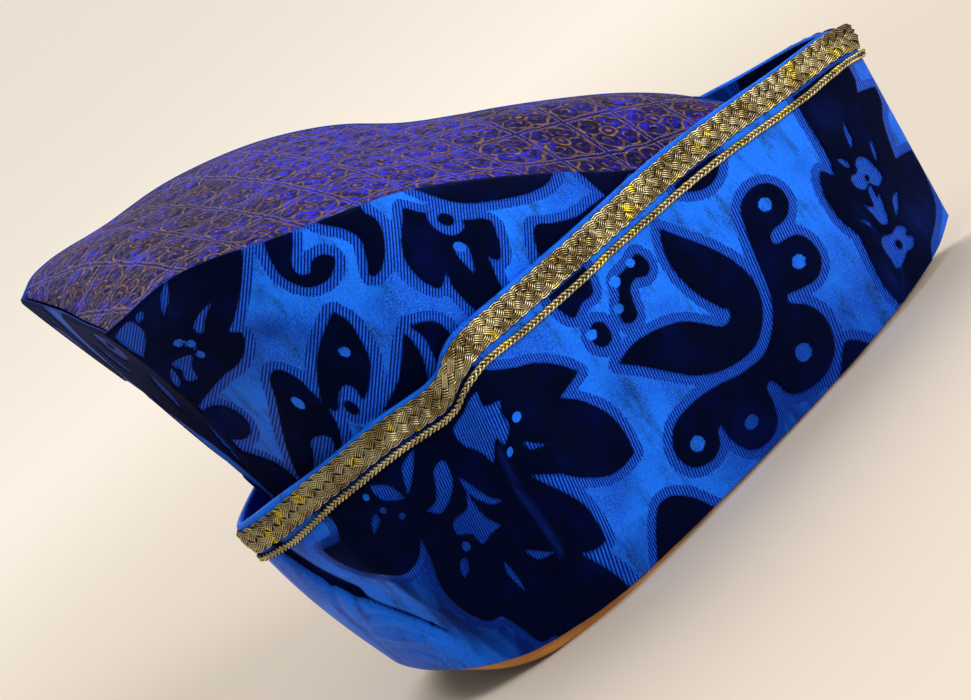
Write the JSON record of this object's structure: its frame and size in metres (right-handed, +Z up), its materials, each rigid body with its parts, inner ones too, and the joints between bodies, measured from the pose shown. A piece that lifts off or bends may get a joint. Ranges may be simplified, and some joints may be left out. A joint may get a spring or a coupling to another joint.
{
  "type": "folk costume cap",
  "caption": "Folk costume cap of cut velvet with a stiff pointed turn-up, a soft crown that rises behind, a brocade top and plaited gilt braid.",
  "frame": {"origin": "under the middle of the cap, at the level of the surface that its rim stands on", "axes": "+X to the pointed front, +Z up out of the crown, -Y to the wearer's right, which is the side in the picture"},
  "size_m": [0.2932, 0.148, 0.2017],
  "materials": {
    "cut_velvet": "azure satin ground with near-black blue pile in leaves and scrolls, ribbed along their edges",
    "crown_velvet": "the same cut velvet as the band",
    "satin_lining": "tan satin with a soft sheen",
    "brocade": "violet-blue silk ground with a small woven pattern of flowers in dull gold thread",
    "gilt_braid": "tarnished gilt metal thread, plaited flat",
    "gilt_cord": "tarnished gilt metal thread, looped into a thin chain"
  },
  "bodies": {
    "root": {"velvet_band": "cut_velvet", "crown_sides": "crown_velvet", "rim_lining": "satin_lining", "brocade_top": "brocade", "wide_braid": "gilt_braid", "narrow_braid": "gilt_cord"}
  },
  "joints": []
}
